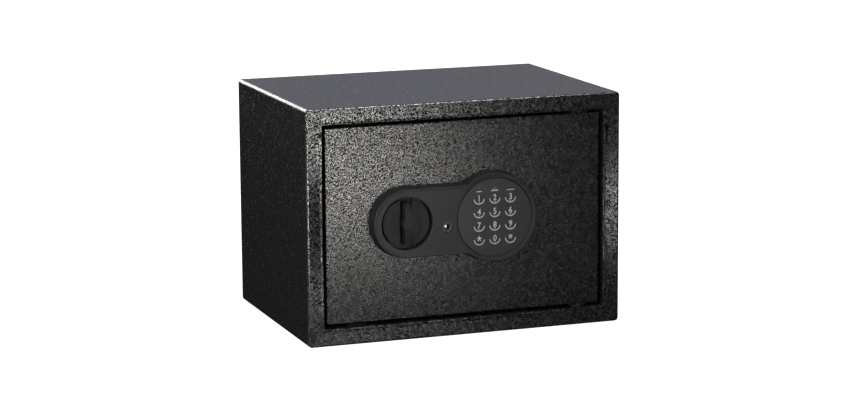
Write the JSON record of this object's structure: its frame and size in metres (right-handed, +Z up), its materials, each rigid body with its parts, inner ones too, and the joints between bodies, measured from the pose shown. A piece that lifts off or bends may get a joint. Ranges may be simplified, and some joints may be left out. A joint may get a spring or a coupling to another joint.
{
  "type": "in-room electronic safe",
  "caption": "Steel in-room safe with a hinged door, live bolts worked by a turn knob, an electronic keypad and an emergency key lock.",
  "frame": {"origin": "centre of the two floor fixing holes, on the underside of the cabinet", "axes": "+Z up, the door faces -Y, +X to the right as seen from the front"},
  "size_m": [0.35, 0.2597, 0.25],
  "materials": {
    "body_paint": "black hammertone powder coat, satin",
    "inner_paint": "black powder coat, smooth satin",
    "liner": "short black felt",
    "bearing": "turned",
    "zinc": "zinc plated",
    "chrome": "polished",
    "panel_plastic": "fine textured black ABS",
    "keypad_plastic": "smooth satin charcoal with white print",
    "key_plastic": "smooth satin charcoal with white print",
    "mat_rubber": "matt silicone",
    "board": "green solder mask",
    "led": "clear",
    "coil": "taped copper winding",
    "cell": "plain shrink sleeve",
    "inner_plastic": "black ABS",
    "red_plastic": "red",
    "lead": "red PVC insulation"
  },
  "bodies": {
    "cabinet": {"cabinet_wrap": "body_paint", "front_frame": "body_paint", "back_panel": "body_paint", "floor_mat": "liner", "hinge_bushes": "bearing", "door_stops": "body_paint"},
    "knob": {"knob": "panel_plastic", "knob_shaft": "zinc", "crank": "zinc", "crank_pin": "zinc", "crank_screw": "zinc"},
    "bolt_carriage": {"bolt_carriage": "zinc", "live_bolts": "chrome", "bolt_screws": "zinc"},
    "solenoid_plunger": {"solenoid_plunger": "chrome", "plunger_spring": "zinc", "release_arm": "zinc"},
    "lock_plug": {"lock_plug": "chrome", "lock_cam": "zinc", "cam_screw": "zinc"},
    "battery_cover": {"battery_cover": "inner_plastic"},
    "reset_button": {"reset_button": "red_plastic"},
    "key_1": {"key_1": "key_plastic"},
    "key_2": {"key_2": "key_plastic"},
    "key_3": {"key_3": "key_plastic"},
    "key_4": {"key_4": "key_plastic"},
    "key_5": {"key_5": "key_plastic"},
    "key_6": {"key_6": "key_plastic"},
    "key_7": {"key_7": "key_plastic"},
    "key_8": {"key_8": "key_plastic"},
    "key_9": {"key_9": "key_plastic"},
    "key_star": {"key_star": "key_plastic"},
    "key_0": {"key_0": "key_plastic"},
    "key_hash": {"key_hash": "key_plastic"},
    "door": {"door_plate": "body_paint", "door_pan": "inner_paint", "inner_cover": "inner_paint", "inner_cover_screws": "zinc", "hinge_blocks": "inner_paint", "hinge_pins": "zinc", "control_panel": "panel_plastic", "panel_screws": "zinc", "keypad_plate": "keypad_plastic", "keypad_mat": "mat_rubber", "keypad_board": "board", "indicator_leds": "led", "shaft_bush": "bearing", "carriage_guides": "zinc", "solenoid_frame": "zinc", "solenoid_coil": "coil", "lock_cylinder": "chrome", "lock_nut": "zinc", "main_board": "board", "board_standoffs": "bearing", "small_screws": "zinc", "wiring": "lead", "battery_box": "inner_plastic", "battery_contacts": "chrome", "batteries": "cell", "reset_switch": "inner_plastic"}
  },
  "joints": [
    {"name": "door_hinge", "type": "hinge", "parent": "cabinet", "child": "door", "pos_m": [0.132, -0.111, 0.125], "axis": [0, 0, 1], "range_deg": [0, 110]},
    {"name": "knob_turn", "type": "hinge", "parent": "door", "child": "knob", "pos_m": [-0.0677, -0.115, 0.125], "axis": [0, -1, 0], "range_deg": [0, 70]},
    {"name": "bolt_throw", "type": "slide", "parent": "door", "child": "bolt_carriage", "axis": [-1, 0, 0], "range_m": [0, 0.01606]},
    {"name": "plunger_lift", "type": "slide", "parent": "door", "child": "solenoid_plunger", "axis": [0, 0, 1], "range_m": [0, 0.005], "deforming": ["plunger_spring"]},
    {"name": "key_turn", "type": "hinge", "parent": "door", "child": "lock_plug", "pos_m": [-0.0226, -0.115, 0.1185], "axis": [0, -1, 0], "range_deg": [-90, 0]},
    {"name": "battery_cover_slide", "type": "slide", "parent": "door", "child": "battery_cover", "axis": [-1, 0, 0], "range_m": [0, 0.02]},
    {"name": "reset_press", "type": "slide", "parent": "door", "child": "reset_button", "axis": [0, -1, 0], "range_m": [0, 0.0015], "stiffness_N_per_m": 600},
    {"name": "key_1_press", "type": "slide", "parent": "door", "child": "key_1", "axis": [0, 1, 0], "range_m": [0, 0.0005], "stiffness_N_per_m": 1200},
    {"name": "key_2_press", "type": "slide", "parent": "door", "child": "key_2", "axis": [0, 1, 0], "range_m": [0, 0.0005], "stiffness_N_per_m": 1200},
    {"name": "key_3_press", "type": "slide", "parent": "door", "child": "key_3", "axis": [0, 1, 0], "range_m": [0, 0.0005], "stiffness_N_per_m": 1200},
    {"name": "key_4_press", "type": "slide", "parent": "door", "child": "key_4", "axis": [0, 1, 0], "range_m": [0, 0.0005], "stiffness_N_per_m": 1200},
    {"name": "key_5_press", "type": "slide", "parent": "door", "child": "key_5", "axis": [0, 1, 0], "range_m": [0, 0.0005], "stiffness_N_per_m": 1200},
    {"name": "key_6_press", "type": "slide", "parent": "door", "child": "key_6", "axis": [0, 1, 0], "range_m": [0, 0.0005], "stiffness_N_per_m": 1200},
    {"name": "key_7_press", "type": "slide", "parent": "door", "child": "key_7", "axis": [0, 1, 0], "range_m": [0, 0.0005], "stiffness_N_per_m": 1200},
    {"name": "key_8_press", "type": "slide", "parent": "door", "child": "key_8", "axis": [0, 1, 0], "range_m": [0, 0.0005], "stiffness_N_per_m": 1200},
    {"name": "key_9_press", "type": "slide", "parent": "door", "child": "key_9", "axis": [0, 1, 0], "range_m": [0, 0.0005], "stiffness_N_per_m": 1200},
    {"name": "key_star_press", "type": "slide", "parent": "door", "child": "key_star", "axis": [0, 1, 0], "range_m": [0, 0.0005], "stiffness_N_per_m": 1200},
    {"name": "key_0_press", "type": "slide", "parent": "door", "child": "key_0", "axis": [0, 1, 0], "range_m": [0, 0.0005], "stiffness_N_per_m": 1200},
    {"name": "key_hash_press", "type": "slide", "parent": "door", "child": "key_hash", "axis": [0, 1, 0], "range_m": [0, 0.0005], "stiffness_N_per_m": 1200}
  ],
  "couplings": [
    {"joint": "knob_turn", "follows": "bolt_throw", "rad_per_m": 76.072}
  ]
}
